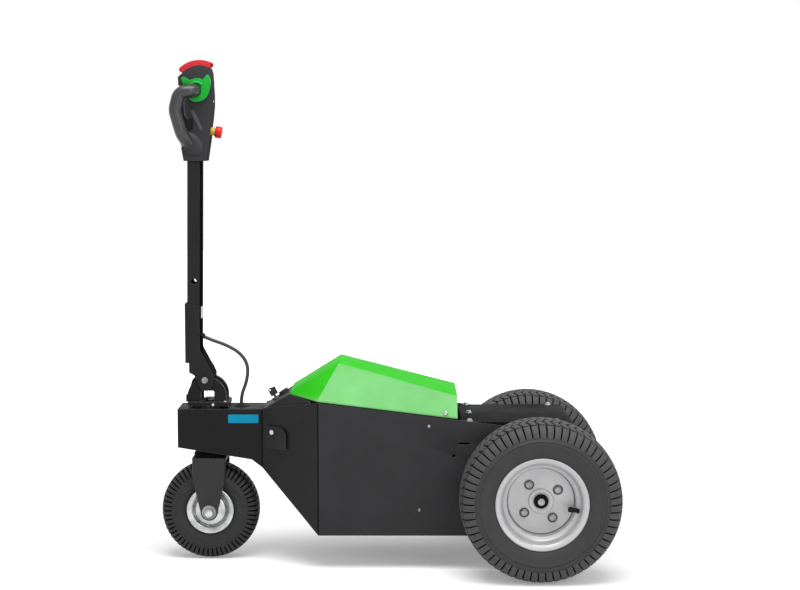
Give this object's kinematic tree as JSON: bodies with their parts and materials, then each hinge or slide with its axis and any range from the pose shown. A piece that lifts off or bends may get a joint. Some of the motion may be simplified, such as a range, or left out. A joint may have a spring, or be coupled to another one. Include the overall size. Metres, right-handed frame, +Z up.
{
  "type": "pedestrian electric tow tractor with tiller",
  "caption": "Walk-behind electric tow tractor with a tilting tiller, a steered front wheel, driven rear wheels, a faceted battery hood and a rear hitch.",
  "frame": {"origin": "on the floor, under the middle of the machine's bounding box", "axes": "+X to the hitch end, -X to the tiller end, +Y to the right-hand side, +Z up"},
  "size_m": [1.1678, 0.6524, 1.2865],
  "materials": {
    "body_black": "satin powder coat",
    "hood_green": "gloss paint",
    "steel_black": "satin black paint",
    "rim_silver": "silver paint",
    "zinc": "zinc plated",
    "tyre": "dull rubber",
    "rubber_black": "dull rubber",
    "plastic_black": "fine grained",
    "grip_rubber": "soft grip",
    "throttle_green": "gloss",
    "belly_red": "satin",
    "stop_red": "gloss",
    "stop_yellow": "satin",
    "key_steel": "nickel plated",
    "dial_black": "gloss",
    "cable_black": "satin",
    "battery_grey": "moulded"
  },
  "bodies": {
    "chassis": {"side_plate_left": "body_black", "side_plate_right": "body_black", "floor_plate": "body_black", "neck_box": "body_black", "head_tube": "steel_black", "hood": "hood_green", "hood_seal": "rubber_black", "dash_panel": "body_black", "rear_deck": "body_black", "deck_beam": "steel_black", "battery_pack": "battery_grey", "drive_unit": "steel_black", "axle_tube_left": "steel_black", "axle_tube_right": "steel_black", "hitch_bracket": "steel_black", "key_switch": "key_steel", "key": "key_steel", "charge_dial": "dial_black", "cable_grommet": "rubber_black", "steering_cable": "cable_black", "flap_screw": "zinc", "charge_socket": "dial_black"},
    "steering_head": {"fork": "steel_black", "steering_stem": "zinc", "front_axle": "zinc", "tiller_base": "steel_black", "tilt_buffer": "rubber_black"},
    "front_wheel": {"front_tyre": "tyre", "front_rim": "zinc"},
    "tiller": {"mast": "steel_black", "mast_bracket": "steel_black", "pivot_bolt": "zinc", "cable_gland": "rubber_black", "head_housing": "plastic_black", "belly_cap": "belly_red", "grip_left": "grip_rubber", "grip_right": "grip_rubber", "throttle_left": "throttle_green", "throttle_right": "throttle_green", "stop_base": "stop_yellow", "stop_button": "stop_red"},
    "rear_wheel_left": {"rear_tyre_left": "tyre", "rear_rim_left": "rim_silver", "rear_hub_left": "steel_black"},
    "rear_wheel_right": {"rear_tyre_right": "tyre", "rear_rim_right": "rim_silver", "rear_hub_right": "steel_black"},
    "flap": {"charge_flap": "body_black"}
  },
  "joints": [
    {"name": "steer", "type": "hinge", "parent": "chassis", "child": "steering_head", "pos_m": [-0.457, 0, 0.4], "axis": [0, 0, 1], "range_deg": [-75, 75], "deforming": ["steering_cable"]},
    {"name": "front_wheel_roll", "type": "hinge", "parent": "steering_head", "child": "front_wheel", "pos_m": [-0.457, 0, 0.127], "axis": [0, 1, 0], "continuous": true},
    {"name": "tiller_tilt", "type": "hinge", "parent": "steering_head", "child": "tiller", "pos_m": [-0.466, 0, 0.469], "axis": [0, -1, 0], "range_deg": [0, 70], "stiffness_Nm_per_rad": 25, "springref_deg": -20.05, "deforming": ["steering_cable"]},
    {"name": "rear_wheel_left_roll", "type": "hinge", "parent": "chassis", "child": "rear_wheel_left", "pos_m": [0.383, -0.243, 0.201], "axis": [0, 1, 0], "continuous": true},
    {"name": "rear_wheel_right_roll", "type": "hinge", "parent": "chassis", "child": "rear_wheel_right", "pos_m": [0.383, 0.243, 0.201], "axis": [0, 1, 0], "continuous": true},
    {"name": "flap_swing", "type": "hinge", "parent": "chassis", "child": "flap", "pos_m": [-0.28901, -0.08106, 0.341], "axis": [-0.5188, -0.8549, 0], "range_deg": [0, 110]}
  ]
}
